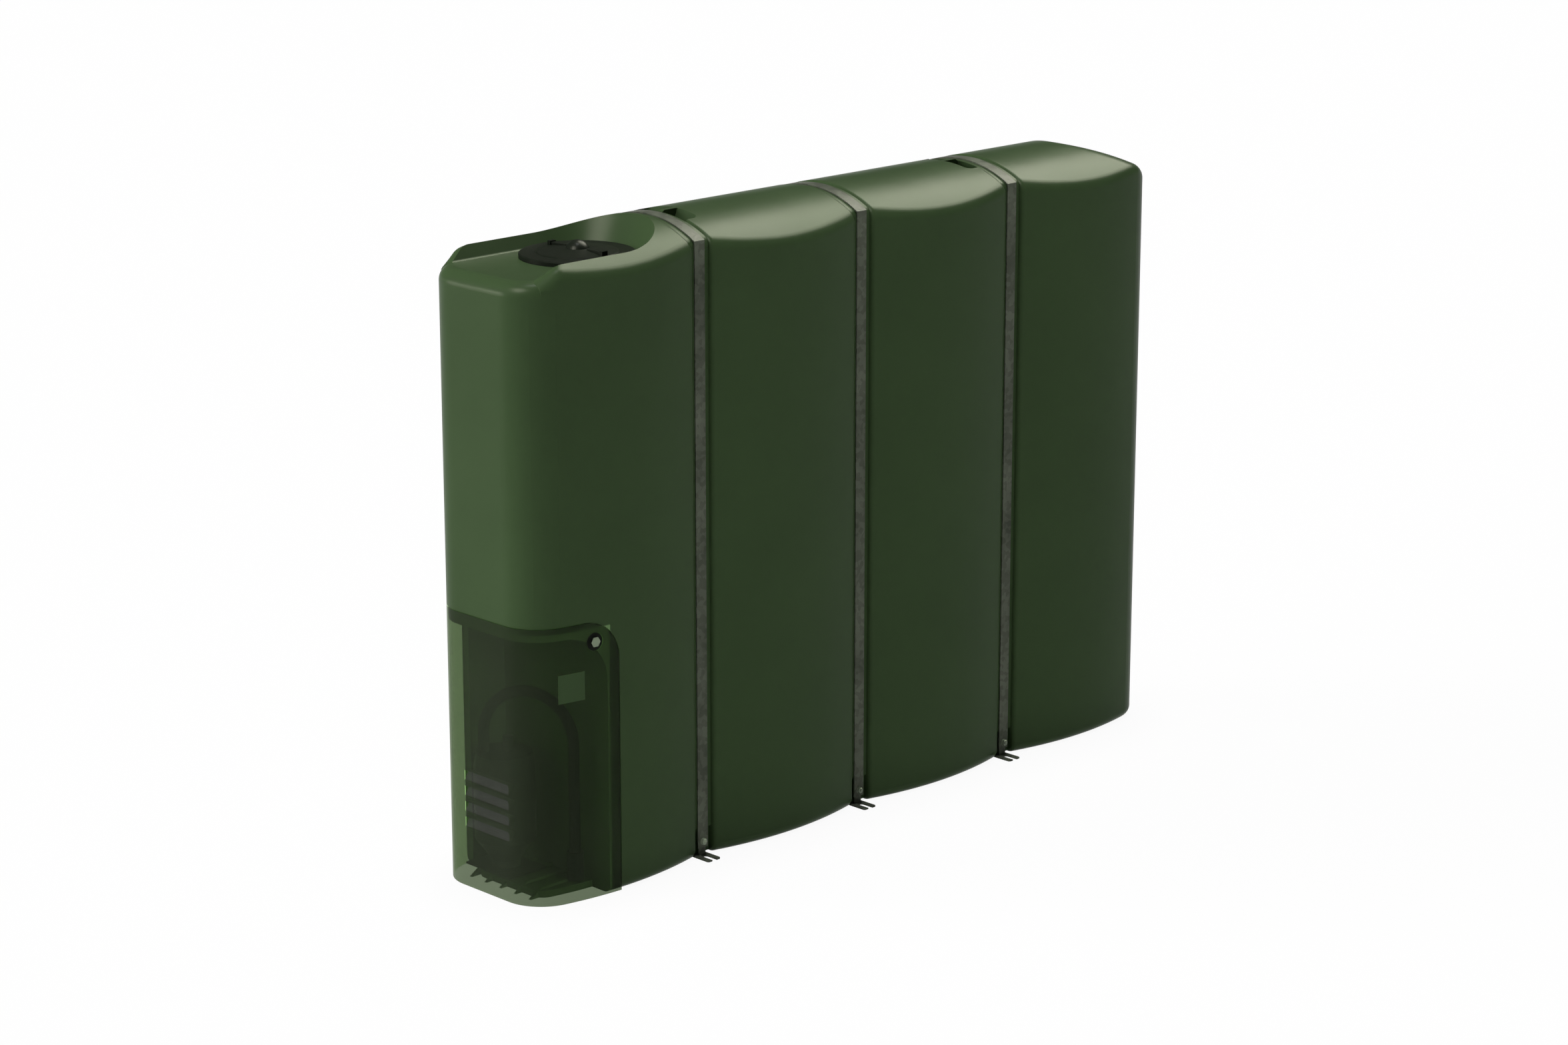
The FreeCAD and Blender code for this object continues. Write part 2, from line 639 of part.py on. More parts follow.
# The shell's panels
RECESS_EDGE = f"({CHAMBER_END} - wall)"
END_PANEL = f"({END} - end_split)"
RECESS_TURN = "(cover_height - rebate_width - chamber_corner)"
STRAP_LINES = (f"-{FAR}", "-strap_pitch", "0", "strap_pitch", FAR)
pieces = {}


def panel(name, *zones):
    """A panel of the shell: what lies in one or more zones, each given along x, y and z."""
    blocks = [box(f"{name}_zone_{number}", *zone) for number, zone in enumerate(zones)]
    zone = blocks[0] if len(blocks) == 1 else fuse(f"{name}_zones", *blocks)
    pieces[name] = common(name, shell, zone)


LOWER = (UNDERGROUND, PANEL_SPLIT)
UPPER = (PANEL_SPLIT, ROOF_SPLIT)
WALL_HEIGHT = (UNDERGROUND, ROOF_SPLIT)
SIDES = {"front": (f"-{BEYOND}", f"-{FLOOR_HALF}"), "back": (FLOOR_HALF, BEYOND)}

for number in (1, 2, 3, 4):
    along = STRAP_LINES[number - 1:number + 1]
    panel(f"roof_bay_{number}", (along, WHOLE, (ROOF_SPLIT, FAR)))
    for side, across in SIDES.items():
        zones = [(along, across, WALL_HEIGHT)]
        if number == 1:
            zones = [
                ((f"-{RECESS_EDGE}", along[1]), across, LOWER),
                ((f"-{END_PANEL}", along[1]), across, UPPER),
            ]
        if number == 4:
            zones = [((along[0], END_PANEL), across, WALL_HEIGHT)]
        panel(f"{side}_wall_bay_{number}", *zones)

panel("left_end_wall", ((f"-{FAR}", f"-{END_PANEL}"), WHOLE, UPPER))
panel("right_end_wall", ((END_PANEL, FAR), WHOLE, WALL_HEIGHT))
panel("tank_floor", ((f"-{RECESS_EDGE}", END_PANEL), (f"-{FLOOR_HALF}", FLOOR_HALF), (UNDERGROUND, "floor_split")))

RECESS_SPAN = (f"-{FAR}", f"-{RECESS_EDGE}")
BEFORE_BACK = (f"-{BEYOND}", CHAMBER_BACK)
panel("recess_back_wall", (RECESS_SPAN, (CHAMBER_BACK, BEYOND), ("platform_height", PANEL_SPLIT)))
panel("recess_end_wall", (RECESS_SPAN, BEFORE_BACK, ("platform_height", RECESS_TURN)))
panel("recess_ceiling", (RECESS_SPAN, BEFORE_BACK, (RECESS_TURN, PANEL_SPLIT)))
panel("bare_platform", (RECESS_SPAN, WHOLE, (UNDERGROUND, "platform_height")))

# Ribs across the platform, each with a pointed nose on the ground beyond its edge
platform = pieces.pop("bare_platform")
RIB_TOP = "(platform_height + rib_height)"
ribs = []
for number in range(value["rib_count"]):
    place = f"(-rib_front + {number} * rib_pitch)"
    edge = f"(-{END} + platform_inset)"
    rib = wedge(
        f"platform_rib_{number + 1}",
        (f"{edge} - rib_nose", f"-{CHAMBER_END}"),
        (f"{edge} + rib_nose", f"-{CHAMBER_END}"),
        (f"{place} - rib_width / 2", f"{place} + rib_width / 2"),
        ("0", RIB_TOP),
    )
    ribs.append(rib)
pieces["pump_platform"] = fuse("pump_platform", platform, *ribs)


# Straps over the roof, with a foot at each end
def strap(number):
    name = f"strap_{number}"
    centre = f"{number - 2} * strap_pitch"
    along = (f"{centre} - strap_width / 2", f"{centre} + strap_width / 2")
    outside = arch_block(f"{name}_outside", along, STRAP_HALF, STRAP_OUTER, "strap_end")
    inside = arch_block(f"{name}_inside", along, STRAP_BACK, STRAP_INNER, UNDERGROUND)
    pieces[name] = cut(name, outside, inside)


def strap_foot(number, side, sign):
    """A bent bracket: a tab behind the strap's end and a forked plate on the ground."""
    name = f"strap_foot_{side}_{number}"
    strap_middle = f"{number - 2} * strap_pitch"
    plate_middle = f"({strap_middle} + {sign} * foot_shift)"
    tab_half = "(strap_width / 2 - foot_tab_inset)"
    tip = f"({STRAP_HALF} + foot_reach)"
    slot_end = f"({tip} - foot_slot_length)"

    def across(near, far):
        return (near, far) if sign > 0 else (f"-({far})", f"-({near})")

    def beside(centre, half):
        return (f"{centre} - {half}", f"{centre} + {half}")

    behind = across(f"{STRAP_BACK} - foot_thickness", STRAP_BACK)
    tab = box(f"{name}_tab", beside(strap_middle, tab_half), behind, ("0", "foot_tab_height"))
    along = across(f"{STRAP_BACK} - foot_tail", tip)
    plate = box(f"{name}_plate", beside(plate_middle, "foot_width / 2"), along, ("0", "foot_thickness"))
    plate = rounded(
        f"{name}_tips",
        plate,
        value["prong_radius"],
        lambda edge: upright(edge) and abs(middle(edge).y) > number_of(STRAP_HALF),
    )
    bent = rounded(
        f"{name}_bend",
        fuse(f"{name}_blank", tab, plate),
        value["foot_bend"],
        lambda edge: edge.BoundBox.XLength > LONG and abs(middle(edge).z - value["foot_thickness"]) < NEAR
        and abs(abs(middle(edge).y) - number_of(STRAP_BACK)) < NEAR,
    )
    past_tip = across(slot_end, f"{tip} + foot_thickness")
    slot = box(f"{name}_slot", beside(plate_middle, "foot_slot_width / 2"), past_tip, (UNDERGROUND, "half_width"))
    slot_round = cylinder(
        f"{name}_slot_round", "z", "foot_slot_width / 2", UNDERGROUND, "half_width",
        (plate_middle, f"{sign} * {slot_end}"),
    )
    pieces[name] = cut(name, bent, fuse(f"{name}_slot_whole", slot, slot_round))


for number in (1, 2, 3):
    strap(number)
    for side, sign in (("front", -1), ("back", 1)):
        strap_foot(number, side, sign)


# Turned pieces, each a revolved sketch of radius and height
def turned(name, outline, x, y, z):
    body = doc.addObject("PartDesign::Body", f"{name}_body")
    upright_plane = next(item for item in body.Origin.OriginFeatures if item.Role == "XZ_Plane")
    sketch = body.newObject("Sketcher::SketchObject", f"{name}_sketch")
    sketch.AttachmentSupport = [(upright_plane, "")]
    sketch.MapMode = "FlatFace"
    points = [Vector(number_of(radius), number_of(height), 0) for radius, height in outline]
    count = len(points)
    for index, point in enumerate(points):
        sketch.addGeometry(Part.LineSegment(point, points[(index + 1) % count]), False)
    for index in range(count):
        sketch.addConstraint(Sketcher.Constraint("Coincident", index, 2, (index + 1) % count, 1))
    for index, (radius, height) in enumerate(outline):
        for kind, text, axis in (("DistanceX", radius, -2), ("DistanceY", height, -1)):
            if number_of(text) == 0:
                sketch.addConstraint(Sketcher.Constraint("PointOnObject", index, 1, axis))
                continue
            where = sketch.addConstraint(Sketcher.Constraint(kind, -1, 1, index, 1, number_of(text)))
            sketch.setExpression(f"Constraints[{where}]", ref(text))
    turn = body.newObject("PartDesign::Revolution", f"{name}_turn")
    turn.Profile = sketch
    turn.ReferenceAxis = (sketch, ["V_Axis"])
    turn.Angle = 360
    body.Tip = turn
    for axis, place in zip("xyz", (x, y, z)):
        bind(body, f"Placement.Base.{axis}", place)
    return body


LID_TOP = f"({SHELF} + lid_height + lid_ring_height + lid_crown)"
lid_disc = turned(
    "lid_disc",
    (
        ("0", "0"),
        ("opening_radius - lid_plug_gap", "0"),
        ("opening_radius - lid_plug_gap", "lid_plug_depth"),
        (LID_RADIUS, "lid_plug_depth"),
        (LID_RADIUS, "lid_plug_depth + lid_height - lid_bevel"),
        (f"{LID_RADIUS} - lid_bevel", "lid_plug_depth + lid_height"),
        ("opening_radius - lid_ring_inset", "lid_plug_depth + lid_height"),
        ("opening_radius - lid_ring_inset - lid_ring_height", "lid_plug_depth + lid_height + lid_ring_height"),
        ("dome_radius + dome_margin", "lid_plug_depth + lid_height + lid_ring_height + lid_crown"),
        ("0", "lid_plug_depth + lid_height + lid_ring_height + lid_crown"),
    ),
    f"-{LID_X}", "0", f"{SHELF} - lid_plug_depth",
)


def lid_grip(number, sign):
    """A tapered grip on the raised middle of the lid, with a block at its wide end."""
    end = "(opening_radius - lid_ring_inset - lid_ring_height - stop_length)"
    taper = doc.addObject("Part::Wedge", f"lid_taper_{number}")
    for prop, size in (
        ("Xmin", "-grip_narrow / 2"), ("Xmax", "grip_narrow / 2"),
        ("X2min", "-grip_wide / 2"), ("X2max", "grip_wide / 2"),
        ("Ymin", "grip_start"), ("Ymax", f"{end} + stop_length / 2"),
        ("Zmin", "-lid_crown"), ("Zmax", "grip_height"), ("Z2min", "-lid_crown"), ("Z2max", "grip_height"),
    ):
        bind(taper, prop, size)
    across = ("-stop_width / 2", "stop_width / 2")
    stop = box(f"lid_stop_{number}", across, (end, f"{end} + stop_length"), ("-lid_crown", "stop_height"))
    grip = fuse(f"lid_grip_{number}", taper, stop)
    grip.Placement = Placement(Vector(), Rotation(Vector(0, 0, 1), 90 - 90 * sign))
    bind(grip, "Placement.Base.x", f"-{LID_X}")
    bind(grip, "Placement.Base.z", LID_TOP)
    return grip


pieces["access_lid"] = fuse("access_lid", lid_disc, lid_grip(1, 1), lid_grip(2, -1))

DOME_SPHERE = "((dome_radius ^ 2 + dome_height ^ 2) / (2 * dome_height))"
sphere = doc.addObject("Part::Sphere", "dome_sphere")
bind(sphere, "Radius", DOME_SPHERE)
bind(sphere, "Placement.Base.x", f"-{LID_X}")
bind(sphere, "Placement.Base.z", f"{LID_TOP} + dome_height - {DOME_SPHERE}")
above_lid = box("above_lid", (f"-{FAR}", FAR), WHOLE, (LID_TOP, FAR))
pieces["lid_vent_dome"] = common("lid_vent_dome", sphere, above_lid)

# Pump cover: a skin on the tank's own outline, with louvres in the end and a hole for its knob
cover_inside = plan("cover_inside", 1, "cover_wall", bottom=UNDERGROUND)
cover_skin = cut("cover_skin", plan("cover_outside", 1, "0"), cover_inside)
cover_block = common("cover_block", cover_skin, cover_zone("cover", "0", "cover_seam"))
above_ground = box("above_ground", (f"-{FAR}", FAR), WHOLE, ("cover_lift", FAR))
cover_block = common("cover_lifted", cover_block, above_ground)
BLADE_SPAN = ("-louvre_front", "louvre_back")
HOOD_SPAN = ("-louvre_front - louvre_wall", "louvre_back + louvre_wall")
slots = []
hoods = []
for number in range(value["louvre_count"]):
    low = f"(louvre_low + {number} * louvre_pitch)"
    height = (low, f"{low} + louvre_gap")
    through = (f"-{END} - cover_wall", f"-{END} + 2 * cover_wall")
    slot = box(f"louvre_slot_{number + 1}", through, BLADE_SPAN, height)
    slots.append(
        rounded(
            f"louvre_round_{number + 1}",
            slot,
            value["louvre_corner"],
            lambda edge: edge.BoundBox.XLength > LONG and middle(edge).y < 0,
        )
    )
    outside = wedge(
        f"louvre_hood_{number + 1}",
        (f"-{END}", f"-{END} + louvre_wall"),
        (f"-{END}", f"-{END} + louvre_depth + louvre_wall"),
        HOOD_SPAN,
        height,
    )
    inside = wedge(
        f"louvre_throat_{number + 1}",
        (f"-{END} - louvre_depth", f"-{END}"),
        (f"-{END} - louvre_depth", f"-{END} + louvre_depth"),
        BLADE_SPAN,
        height,
    )
    hoods.append(cut(f"louvre_blade_{number + 1}", outside, inside))
KNOB_SIDE = "(end_reach - knob_inset)"
KNOB_Z = "(cover_height - knob_drop)"
KNOB_X = f"(-{END} + knob_inset)"
knob_hole = cylinder("knob_hole", "y", "knob_hole", f"-{BEYOND}", "0", (KNOB_X, KNOB_Z))
cover_holed = cut("cover_holed", cover_block, fuse("cover_openings", *slots, knob_hole))
pieces["pump_cover"] = fuse("pump_cover", cover_holed, *hoods)

# Knob: a flanged hexagon square to the bulged wall
knob_reach = f"({BAY_RADIUS} - cover_wall)"
bay_half = (value["strap_pitch"] - value["groove_width"]) / 2
bay_radius = (bay_half ** 2 + value["bay_bulge"] ** 2) / (2 * value["bay_bulge"])
knob_turn = Rotation(Vector(0, 0, 1), -math.degrees(math.asin(number_of(KNOB_SIDE) / bay_radius)))
knob_turn = knob_turn * Rotation(Vector(1, 0, 0), 90)


def on_step(thing):
    thing.Placement = Placement(Vector(), knob_turn)
    bind(thing, "Placement.Base.x", f"{bay_centre(1)} - {knob_reach} * {KNOB_SIDE} / {BAY_RADIUS}")
    depth = f"{knob_reach} * sqrt(1 - ({KNOB_SIDE} / {BAY_RADIUS}) ^ 2)"
    bind(thing, "Placement.Base.y", f"{BAY_RADIUS} - half_width - {depth}")
    bind(thing, "Placement.Base.z", KNOB_Z)
    return thing


hexagon = doc.addObject("Part::Prism", "knob_hexagon")
hexagon.Polygon = 6
bind(hexagon, "Circumradius", "knob_across")
bind(hexagon, "Height", "knob_length")
flange = doc.addObject("Part::Cylinder", "knob_flange")
bind(flange, "Radius", "knob_hole - knob_gap")
bind(flange, "Height", "knob_flange_height")
pieces["cover_knob"] = fuse("cover_knob", on_step(hexagon), on_step(flange))

# Pump on the platform's ribs, with its hose to the outlet
PUMP_X = "(1.5 * strap_pitch + end_reach - pump_inset)"
PUMP_Y = "(half_width - chamber_inset - pump_gap)"
PUMP_LOW = "(platform_height + rib_height + pump_stand)"
PUMP_TOP = "(platform_height + rib_height + pump_stand + pump_height)"
HOSE_SPRING = "(platform_height + rib_height + pump_stand + pump_height + hose_rise)"
HOSE_START = (
    "-1.5 * strap_pitch - end_reach + pump_inset - hose_start_left",
    "half_width - chamber_inset - pump_gap + hose_start_back",
)
HOSE_END = ("-1.5 * strap_pitch - end_reach + hose_end_inset", "-hose_end_front")
OUTLET_TOP = "(platform_height + rib_height + outlet_height)"
foot = box(
    "pump_foot",
    (f"-{PUMP_X} - pump_foot_half", f"-{PUMP_X} + pump_foot_half"),
    (f"{PUMP_Y} - pump_foot_reach", f"{PUMP_Y} + pump_foot_reach"),
    (RIB_TOP, f"{RIB_TOP} + pump_foot_thickness"),
)
pedestal = cylinder("pump_pedestal", "z", "pump_neck_radius", RIB_TOP, PUMP_LOW, (f"-{PUMP_X}", PUMP_Y))
pieces["pump_base"] = fuse("pump_base", foot, pedestal)
pieces["pump_body"] = turned(
    "pump_body",
    (
        ("0", "0"),
        ("pump_neck_radius", "0"),
        ("pump_radius", "pump_taper"),
        ("pump_radius", "pump_shoulder"),
        ("pump_top_radius", "pump_height"),
        ("0", "pump_height"),
    ),
    f"-{PUMP_X}", PUMP_Y, PUMP_LOW,
)
pieces["pump_cap"] = cylinder(
    "pump_cap", "z", "cap_radius", PUMP_TOP, f"{PUMP_TOP} + cap_height", (f"-{PUMP_X} + cap_radius", PUMP_Y)
)

start = Vector(*(number_of(place) for place in HOSE_START), 0)
end = Vector(*(number_of(place) for place in HOSE_END), 0)
arch = doc.addObject("Part::Torus", "hose_arch")
arch.Placement = Placement(Vector(), Rotation(start - end, Vector(0, 0, 1), Vector(), "XYZ"))
arch.Angle3 = 180
across = [f"(({high}) - ({low}))" for low, high in zip(HOSE_START, HOSE_END)]
bind(arch, "Radius1", f"sqrt({across[0]} ^ 2 + {across[1]} ^ 2) / 2")
bind(arch, "Radius2", "hose_radius")
for axis, low, high in zip("xy", HOSE_START, HOSE_END):
    bind(arch, f"Placement.Base.{axis}", f"(({low}) + ({high})) / 2")
bind(arch, "Placement.Base.z", HOSE_SPRING)
rise = cylinder("hose_rise_pipe", "z", "hose_radius", PUMP_TOP, HOSE_SPRING, HOSE_START)
drop = cylinder("hose_drop_pipe", "z", "hose_radius", OUTLET_TOP, HOSE_SPRING, HOSE_END)
pieces["pump_hose"] = fuse("pump_hose", rise, arch, drop)
pieces["outlet_fitting"] = cylinder("outlet_fitting", "z", "outlet_radius", RIB_TOP, OUTLET_TOP, HOSE_END)

doc.recompute()
failed = [thing.Name for thing in doc.Objects if "Invalid" in thing.State or "Error" in thing.State]
if failed:
    raise ValueError(f"failed objects: {failed}")
os.makedirs("parts", exist_ok=True)
for name, piece in pieces.items():
    piece.Label = name
    if piece.Shape.isNull() or not piece.Shape.isValid() or not piece.Shape.Solids:
        raise ValueError(f"{name}: no valid solid")
for name, piece in pieces.items():
    piece.Shape.exportStep(f"parts/{name}.step")
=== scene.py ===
import math
import bmesh
import bpy
from mathutils import Matrix, Vector


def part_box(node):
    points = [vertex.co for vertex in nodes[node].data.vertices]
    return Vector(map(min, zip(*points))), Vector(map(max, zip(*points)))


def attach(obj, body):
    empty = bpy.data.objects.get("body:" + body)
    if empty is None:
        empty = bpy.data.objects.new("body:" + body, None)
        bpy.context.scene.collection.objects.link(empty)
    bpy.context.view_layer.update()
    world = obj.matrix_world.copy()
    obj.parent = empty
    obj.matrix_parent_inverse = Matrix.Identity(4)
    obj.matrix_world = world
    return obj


# Slimline water tank: finishes, bolts, a bare label plate, floor, light and camera, in metres.

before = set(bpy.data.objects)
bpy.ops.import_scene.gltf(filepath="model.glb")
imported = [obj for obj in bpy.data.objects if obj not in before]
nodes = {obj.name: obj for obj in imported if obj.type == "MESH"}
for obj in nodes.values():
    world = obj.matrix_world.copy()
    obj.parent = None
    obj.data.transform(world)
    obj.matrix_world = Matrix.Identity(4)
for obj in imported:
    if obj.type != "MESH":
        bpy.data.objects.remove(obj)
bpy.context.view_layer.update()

# Colours, as linear red, green and blue
WHITE = (1.0, 1.0, 1.0)
TANK_GREEN = (0.052, 0.088, 0.036)
LID_GREEN = (0.014, 0.018, 0.012)
STRAP_GREY = (0.122, 0.136, 0.102)
ZINC = (0.24, 0.28, 0.21)
# The knob's hexagon end: its own light grey with painted light; its flange: painted shade standing in for the
# shaded recess
KNOB_GREY_AND_PAINTED_LIGHT = (0.32, 0.39, 0.27)
FLANGE_PAINTED_SHADE = (0.010, 0.012, 0.009)
LABEL_GREEN = (0.058, 0.098, 0.042)
COVER_GREEN = (0.025, 0.033, 0.0185)
COVER_TINT = (0.855, 0.96, 0.772)
# Painted light: the louvre blades are drawn lighter and greyer than the cover, as if lit
LOUVRE_GREY_PAINTED_LIGHT = (0.050, 0.054, 0.046)
PUMP_GREY = (0.010, 0.012, 0.010)
HOSE_BLACK = (0.007, 0.008, 0.007)
SHINE_WARM = (1.0, 0.98, 0.82)

# How much light the finishes mirror
PLASTIC_GLOSS = 0.03
LID_GLOSS = 0.02
DOME_GLOSS = 0.04

# How fine the patterns are, in cells to the metre
MOULD_CLOUD = 2.6
MOULD_WAVE = 9
MOULD_GRAIN = 700
STEEL_CLOUD = 6
STEEL_CRYSTALS = 70
STEEL_GRAIN = 500
COVER_CLOUD = 4
FINE_GRAIN = 600
FLOOR_GRAIN = 30

# The part of a pattern's range that is used, and the depth of each pattern that dents the surface
PATTERN_LOW = 0.3
PATTERN_HIGH = 0.7
WAVE_DEPTH = 0.0012
STIPPLE_DEPTH = 0.00012
LABEL_STIPPLE = 0.00003
FINE_DEPTH = 0.00008
COVER_DEPTH = 0.00006


class Tree:
    """The node tree of a material or of the world, with short calls to add nodes and links."""

    def __init__(self, owner, output, place):
        self.owner = owner
        owner.use_nodes = True
        self.nodes = owner.node_tree.nodes
        self.links = owner.node_tree.links
        self.nodes.clear()
        self.output = self.add(output)
        self.place = self.add("TexCoord").outputs[place]

    def feed(self, socket, given):
        """Links another node's output to a socket, or sets the socket's own value."""
        if isinstance(given, bpy.types.NodeSocket):
            self.links.new(given, socket)
        elif socket.type == "RGBA":
            socket.default_value = (*given, 1)
        else:
            socket.default_value = given

    def add(self, kind, **inputs):
        """A node whose sockets are fed by name."""
        made = self.nodes.new(f"ShaderNode{kind}")
        for key, given in inputs.items():
            self.feed(made.inputs[key.replace("_", " ")], given)
        return made

    def join(self, kind, *given, operation=None):
        """The outputs of a node whose sockets are fed in order."""
        made = self.add(kind)
        if operation is not None:
            made.operation = operation
        for socket, each in zip(made.inputs, given):
            self.feed(socket, each)
        return made.outputs

    def scale(self, colour, factor):
        made = self.add("VectorMath")
        made.operation = "SCALE"
        self.feed(made.inputs["Vector"], colour)
        self.feed(made.inputs["Scale"], factor)
        return made.outputs["Vector"]

    def ranged(self, given, low, high, start=0.0, stop=1.0):
        """A number from start to stop, turned into one from low to high."""
        made = self.add("MapRange", Value=given, From_Min=start, From_Max=stop, To_Min=low, To_Max=high)
        return made.outputs["Result"]

    def noise(self, fineness, detail):
        return self.add("TexNoise", Vector=self.place, Scale=fineness, Detail=detail).outputs["Fac"]

    def span(self, pattern, low, high):
        """A pattern, turned into numbers from low to high."""
        return self.ranged(pattern, low, high, start=PATTERN_LOW, stop=PATTERN_HIGH)

    def shade(self, colour, pattern, low, high):
        """The colour, lighter and darker with a pattern."""
        return self.scale(colour, self.span(pattern, low, high))

    def bump(self, pattern, depth, **under):
        """The normal of a surface that a pattern dents, on the bare shape or on another bump."""
        return self.add("Bump", Height=pattern, Distance=depth, Strength=1.0, **under).outputs["Normal"]

    def surface(self, tone, roughness, normal, gloss=PLASTIC_GLOSS, metallic=0.0):
        made = self.add("BsdfPrincipled", Base_Color=tone, Roughness=roughness, Normal=normal)
        made.inputs["Specular IOR Level"].default_value = gloss
        made.inputs["Metallic"].default_value = metallic
        return made.outputs["BSDF"]

    def finish(self, shader):
        self.links.new(shader, self.output.inputs["Surface"])
        return self.owner


def material_tree(name):
    return Tree(bpy.data.materials.new(name), "OutputMaterial", "Object")


def moulded_plastic(name, colour, roughness, stipple=STIPPLE_DEPTH, gloss=PLASTIC_GLOSS):
    """Rotationally moulded plastic: a fine stipple, a slow waviness and faint clouding of the colour."""
    tree = material_tree(name)
    cloud = tree.noise(MOULD_CLOUD, detail=4)
    grain = tree.noise(MOULD_GRAIN, detail=2)
    wave = tree.noise(MOULD_WAVE, detail=1)
    clouded = tree.shade(colour, cloud, low=0.95, high=1.05)
    tone = tree.shade(clouded, grain, low=0.96, high=1.04)
    slow = tree.bump(wave, WAVE_DEPTH)
    normal = tree.bump(grain, stipple, Normal=slow)
    return tree.finish(tree.surface(tone, tree.span(cloud, *roughness), normal, gloss=gloss))


def coated_steel(name, colour, roughness, metallic=0.0):
    """Dull galvanised steel: crystal patches, a slow clouding and a fine grain."""
    tree = material_tree(name)
    cells = tree.add("TexVoronoi", Vector=tree.place, Scale=STEEL_CRYSTALS).outputs["Color"]
    patch = tree.add("SeparateColor", Color=cells).outputs[0]
    grain = tree.noise(STEEL_GRAIN, detail=3)
    cloud = tree.noise(STEEL_CLOUD, detail=5)
    patched = tree.shade(colour, patch, low=0.88, high=1.12)
    tone = tree.shade(patched, cloud, low=0.70, high=1.24)
    normal = tree.bump(grain, FINE_DEPTH)
    return tree.finish(tree.surface(tone, tree.span(patch, *roughness), normal, metallic=metallic))


# Smoked plastic is cloudy on the outside of its wall and nearly clear on the inside
OUTSIDE_CLOUD = 0.83
INSIDE_CLOUD = 0.25
COVER_AXIS = (-1.164, 0.0, 0.0)
LEVEL_PART = (1, 1, 0)

# Louvre blade faces: the part of the cover just behind its end face, where painted light makes the cover
# lighter and greyer
LOUVRE_FACE = -1.2885
LOUVRE_BACK = -1.2690
LOUVRE_MIDDLE = -0.0115
LOUVRE_HALF = 0.0965


def wall_cloud(tree):
    """How cloudy a face of the cover is: a wall counts once, on the side that is met first."""
    met = tree.add("NewGeometry").outputs
    away = tree.join("VectorMath", tree.place, COVER_AXIS, operation="SUBTRACT")["Vector"]
    level = tree.join("VectorMath", away, LEVEL_PART, operation="MULTIPLY")["Vector"]
    facing = tree.join("VectorMath", level, met["True Normal"], operation="DOT_PRODUCT")["Value"]
    outside = tree.join("Math", facing, 0, operation="GREATER_THAN")["Value"]
    amount = tree.ranged(outside, INSIDE_CLOUD, OUTSIDE_CLOUD)
    entering = tree.ranged(met["Backfacing"], 1.0, 0.0)
    return tree.join("Math", amount, entering, operation="MULTIPLY")["Value"]


def painted_light_share(tree):
    """One on the louvre blade faces, where the painted light goes, and nothing elsewhere."""
    axes = tree.add("SeparateXYZ", Vector=tree.place).outputs
    middle = (LOUVRE_FACE + LOUVRE_BACK) / 2
    half = (LOUVRE_BACK - LOUVRE_FACE) / 2
    behind = tree.join("Math", axes["X"], middle, half, operation="COMPARE")["Value"]
    beside = tree.join("Math", axes["Y"], LOUVRE_MIDDLE, LOUVRE_HALF, operation="COMPARE")["Value"]
    return tree.join("Math", behind, beside, operation="MULTIPLY")["Value"]


def tinted_plastic(name, colour, tint, blade_colour_painted_light, roughness):
    """Smoked see-through plastic: part of what is behind it shows, tinted, with painted light on the louvre
    blade faces.
    """
    tree = material_tree(name)
    cloud = tree.noise(COVER_CLOUD, detail=3)
    grain = tree.noise(FINE_GRAIN, detail=2)
    plain = tree.shade(colour, cloud, low=0.97, high=1.03)
    blade_tone_painted_light = tree.shade(blade_colour_painted_light, grain, low=0.90, high=1.10)
    # Painted light: the louvre blade faces take the lighter grey instead of the cover's green
    tone = tree.join("MixRGB", painted_light_share(tree), plain, blade_tone_painted_light)["Color"]
    body = tree.surface(tone, tree.span(cloud, *roughness), tree.bump(grain, COVER_DEPTH))
    clear = tree.add("BsdfTransparent", Color=tint).outputs["BSDF"]
    return tree.finish(tree.join("MixShader", wall_cloud(tree), clear, body)["Shader"])


# The cover's knob is light grey down to this depth below the end of its hexagon, partly its own colour and
# partly painted light, and its flange is painted shade for the recess round it
HEXAGON_DEPTH = 0.0044


def knob_painted_light_and_shade(name, light, flange_painted_shade, roughness):
    """Moulded plastic: the knob's hexagon end light grey, partly its own colour and partly painted light as
    on lit metal, and its flange in painted shade for the recess round it.
    """
    tree = material_tree(name)
    depth = tree.add("SeparateXYZ", Vector=tree.place).outputs["Y"]
    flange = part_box("cover_knob")[0].y + HEXAGON_DEPTH
    behind = tree.join("Math", depth, flange, operation="GREATER_THAN")["Value"]
    grain = tree.noise(FINE_GRAIN, detail=2)
    shades = [tree.shade(colour, grain, low=0.94, high=1.06) for colour in (light, flange_painted_shade)]
    # Painted light on the hexagon end, painted shade on the flange deeper in
    tone = tree.join("MixRGB", behind, *shades)["Color"]
    return tree.finish(tree.surface(tone, tree.span(grain, *roughness), tree.bump(grain, FINE_DEPTH)))


def white_seen(tree):
    """One where a camera ray, a mirror ray or a ray through a clear surface arrives, else nothing."""
    seen = tree.add("LightPath").outputs
    either = tree.join("Math", seen["Is Camera Ray"], seen["Is Glossy Ray"], operation="MAXIMUM")["Value"]
    return tree.join("Math", either, seen["Is Transmission Ray"], operation="MAXIMUM")["Value"]


def white_floor(name, pale, glow):
    """A pale floor that shows as white, with part of the object's shadow."""
    tree = material_tree(name)
    seen = white_seen(tree)
    grained = tree.shade(WHITE, tree.noise(FLOOR_GRAIN, detail=3), low=0.99, high=1.0)
    tone = tree.scale(grained, tree.ranged(seen, pale, 1.0))
    matt = tree.add("BsdfDiffuse", Color=tone).outputs["BSDF"]
    lit = tree.add("Emission", Color=WHITE, Strength=1.0).outputs["Emission"]
    share = tree.join("Math", seen, glow, operation="MULTIPLY")["Value"]
    return tree.finish(tree.join("MixShader", share, matt, lit)["Shader"])
